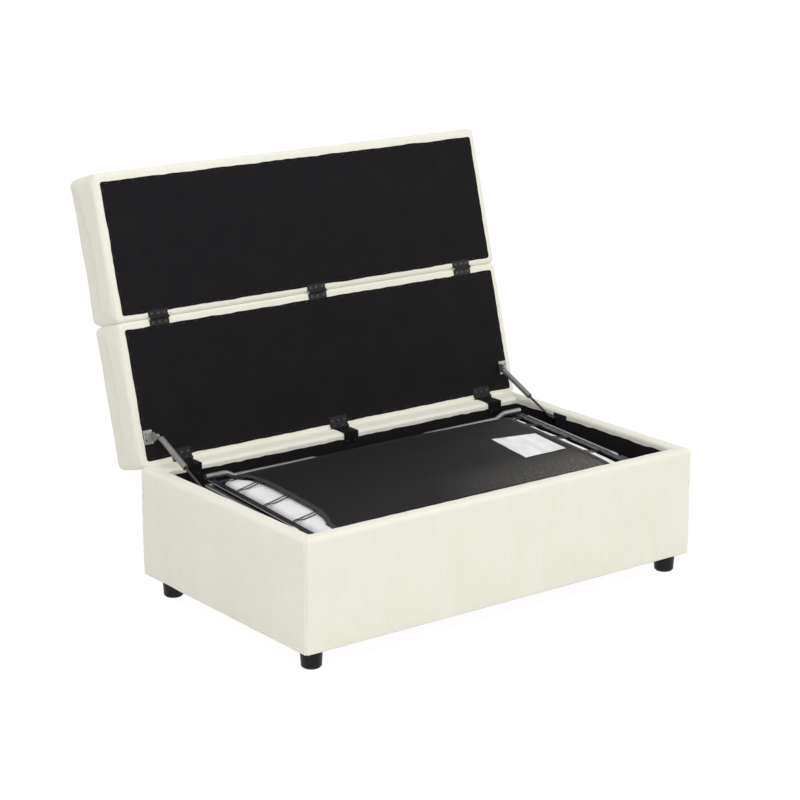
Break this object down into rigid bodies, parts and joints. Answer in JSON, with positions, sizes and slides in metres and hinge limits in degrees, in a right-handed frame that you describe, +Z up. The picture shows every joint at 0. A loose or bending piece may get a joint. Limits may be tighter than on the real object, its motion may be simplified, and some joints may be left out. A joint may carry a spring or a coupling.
{
  "type": "ottoman bed",
  "caption": "Upholstered box ottoman on short round feet, with a padded folding lid on gas struts over a folded guest bed.",
  "frame": {"origin": "middle of the whole part's outer box on the floor, with the lid open and the bed folded", "axes": "+X along the box towards the viewer's right, front of the box towards -Y, +Z up"},
  "size_m": [1.22, 1.0475, 1.0465],
  "materials": {
    "linen": "slubby ivory linen-look weave",
    "lining": "black non-woven lining cloth, matt",
    "board": "raw plywood",
    "black_steel": "black powder coat, satin",
    "bright_steel": "bright zinc-plated steel",
    "strut_steel": "silver-grey painted tube",
    "foot_plastic": "black moulded plastic",
    "deck_cloth": "grey-black woven deck cloth",
    "hem": "speckled grey hem webbing",
    "ticking": "white mattress ticking"
  },
  "bodies": {
    "base": {"front_panel": "board", "rear_panel": "board", "left_panel": "board", "right_panel": "board", "bottom_panel": "board", "box_cover": "linen", "box_lining": "lining", "feet": "foot_plastic", "base_hinge_straps": "black_steel", "base_hinge_pins": "bright_steel", "strut_box_brackets": "black_steel", "lift_pivot_studs": "bright_steel"},
    "lid_rear": {"lid_rear_board": "board", "lid_rear_cushion": "linen", "lid_rear_lining": "lining", "lid_hinge_leaves": "black_steel", "strut_lid_lugs": "bright_steel", "fold_hinge_rear_leaves": "black_steel", "fold_hinge_pins": "bright_steel"},
    "lid_front": {"lid_front_board": "board", "lid_front_cushion": "linen", "lid_front_lining": "lining", "fold_hinge_front_leaves": "black_steel"},
    "rod_left": {"strut_rod_left": "bright_steel"},
    "rod_right": {"strut_rod_right": "bright_steel"},
    "tube_left": {"strut_tube_left": "strut_steel"},
    "tube_right": {"strut_tube_right": "strut_steel"},
    "front_arms": {"front_lift_arms": "black_steel", "front_lift_tube": "black_steel"},
    "rear_arms": {"rear_lift_arms": "black_steel", "rear_lift_tube": "black_steel"},
    "bed_head": {"head_rails": "black_steel", "head_cross_tubes": "black_steel", "head_brackets": "black_steel", "head_deck_cloth": "deck_cloth", "head_links": "black_steel", "head_mattress": "ticking", "bed_fold_pins": "bright_steel"},
    "bed_middle": {"middle_rails": "black_steel", "middle_near_tube": "black_steel", "middle_end_tube": "black_steel", "middle_brackets": "black_steel", "middle_deck_cloth": "deck_cloth", "middle_hem_strips": "hem", "middle_links": "black_steel", "middle_mattress": "ticking", "foot_rails": "black_steel", "foot_cross_tubes": "black_steel", "foot_brackets": "black_steel", "foot_deck_cloth": "deck_cloth", "foot_links": "black_steel", "foot_mattress": "ticking", "foot_fold_pins": "bright_steel", "foot_leg_tubes": "black_steel", "foot_leg_bar": "black_steel", "foot_leg_sleeves": "foot_plastic"},
    "swing_left": {"swing_leg_left": "bright_steel"},
    "swing_right": {"swing_leg_right": "bright_steel"}
  },
  "joints": [
    {"name": "lid_hinge", "type": "hinge", "parent": "base", "child": "lid_rear", "pos_m": [0, 0.18406, 0.3346], "axis": [-1, 0, 0], "range_deg": [-105.54, 0]},
    {"name": "lid_fold", "type": "hinge", "parent": "lid_rear", "child": "lid_front", "pos_m": [0, 0.28046, 0.68612], "axis": [1, 0, 0], "range_deg": [0, 120]},
    {"name": "strut_pivot_left", "type": "hinge", "parent": "lid_rear", "child": "tube_left", "pos_m": [-0.558, 0.18412, 0.40724], "axis": [-1, 0, 0], "range_deg": [0, 127.66]},
    {"name": "strut_slide_left", "type": "slide", "parent": "tube_left", "child": "rod_left", "axis": [0, 0.9126, 0.4088], "range_m": [0, 0.09086]},
    {"name": "strut_pivot_right", "type": "hinge", "parent": "lid_rear", "child": "tube_right", "pos_m": [0.558, 0.18412, 0.40724], "axis": [-1, 0, 0], "range_deg": [0, 127.66]},
    {"name": "strut_slide_right", "type": "slide", "parent": "tube_right", "child": "rod_right", "axis": [0, 0.9126, 0.4088], "range_m": [0, 0.09086]},
    {"name": "front_arm_pivot", "type": "hinge", "parent": "base", "child": "front_arms", "pos_m": [0, -0.43994, 0.2099], "axis": [1, 0, 0], "range_deg": [0, 66.05]},
    {"name": "rear_arm_pivot", "type": "hinge", "parent": "base", "child": "rear_arms", "pos_m": [0, -0.15294, 0.2099], "axis": [1, 0, 0], "range_deg": [0, 66.05]},
    {"name": "head_level", "type": "hinge", "parent": "front_arms", "child": "bed_head", "pos_m": [0, -0.23451, 0.0764], "axis": [-1, 0, 0], "range_deg": [0, 66.05]},
    {"name": "bed_unfold", "type": "hinge", "parent": "bed_head", "child": "bed_middle", "pos_m": [0, -0.43594, 0.186], "axis": [1, 0, 0], "range_deg": [0, 176.5]},
    {"name": "swing_leg_left", "type": "hinge", "parent": "bed_middle", "child": "swing_left", "pos_m": [-0.52, 0.02064, 0.3051], "axis": [-1, 0, 0], "range_deg": [0, 90]},
    {"name": "swing_leg_right", "type": "hinge", "parent": "bed_middle", "child": "swing_right", "pos_m": [0.52, 0.02064, 0.3051], "axis": [-1, 0, 0], "range_deg": [0, 90]}
  ],
  "couplings": [
    {"joint": "strut_pivot_left", "follows": "lid_hinge", "ratio": -1.2094},
    {"joint": "strut_slide_left", "follows": "lid_hinge", "m_per_rad": -0.04927},
    {"joint": "strut_pivot_right", "follows": "lid_hinge", "ratio": -1.2094},
    {"joint": "strut_slide_right", "follows": "lid_hinge", "m_per_rad": -0.04927},
    {"joint": "front_arm_pivot", "follows": "bed_unfold", "ratio": 0.37414},
    {"joint": "rear_arm_pivot", "follows": "bed_unfold", "ratio": 0.37414},
    {"joint": "head_level", "follows": "bed_unfold", "ratio": 0.37414}
  ]
}
